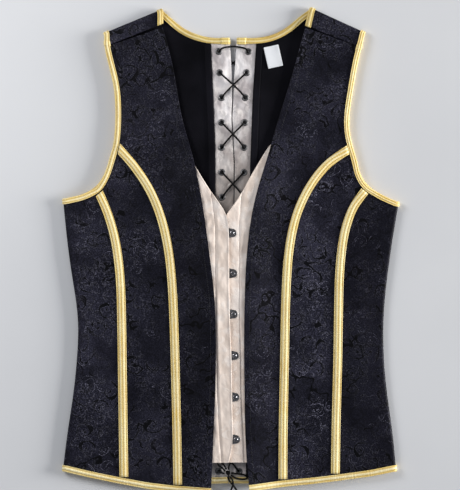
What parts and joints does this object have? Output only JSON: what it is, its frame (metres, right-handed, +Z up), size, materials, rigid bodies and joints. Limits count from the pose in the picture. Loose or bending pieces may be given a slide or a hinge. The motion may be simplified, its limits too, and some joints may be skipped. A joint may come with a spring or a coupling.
{
  "type": "corset vest",
  "caption": "Black jacquard corset vest with gold binding, cream placket with steel busk and laced back, laid flat on its back.",
  "frame": {"origin": "on the surface that the vest lies on, below the middle of its outline without the free lace ends", "axes": "+X to the wearer's left, which is the right of the picture, +Y towards the shoulders, +Z up out of the front"},
  "size_m": [0.4235, 0.6265, 0.0192],
  "materials": {
    "black_cloth": "jacquard with a soft sheen",
    "black_lining": "plain satin",
    "gold_satin": "satin",
    "cream_satin": "satin",
    "steel": "polished",
    "cord": "braided",
    "label": "matt"
  },
  "bodies": {
    "root": {"front_centre_left": "black_cloth", "front_middle_left": "black_cloth", "side_left": "black_cloth", "back_left": "black_lining", "bone_casing_left": "black_lining", "armhole_binding_left": "gold_satin", "hem_binding_left": "gold_satin", "neck_binding_left": "gold_satin", "inner_tape_left": "gold_satin", "outer_tape_left": "gold_satin", "lacing_strip_left": "cream_satin", "placket_left": "cream_satin", "lace_loop_left": "cord", "lace_tail_left": "cord", "front_centre_right": "black_cloth", "front_middle_right": "black_cloth", "side_right": "black_cloth", "back_right": "black_lining", "bone_casing_right": "black_lining", "armhole_binding_right": "gold_satin", "hem_binding_right": "gold_satin", "neck_binding_right": "gold_satin", "inner_tape_right": "gold_satin", "outer_tape_right": "gold_satin", "lacing_strip_right": "cream_satin", "placket_right": "cream_satin", "lace_loop_right": "cord", "lace_tail_right": "cord", "busk_loop_1": "steel", "busk_stud_1": "steel", "busk_loop_2": "steel", "busk_stud_2": "steel", "busk_loop_3": "steel", "busk_stud_3": "steel", "busk_loop_4": "steel", "busk_stud_4": "steel", "busk_loop_5": "steel", "busk_stud_5": "steel", "busk_loop_6": "steel", "busk_stud_6": "steel", "lace_a": "cord", "lace_b": "cord", "lace_knot": "cord", "care_label": "label"}
  },
  "joints": []
}
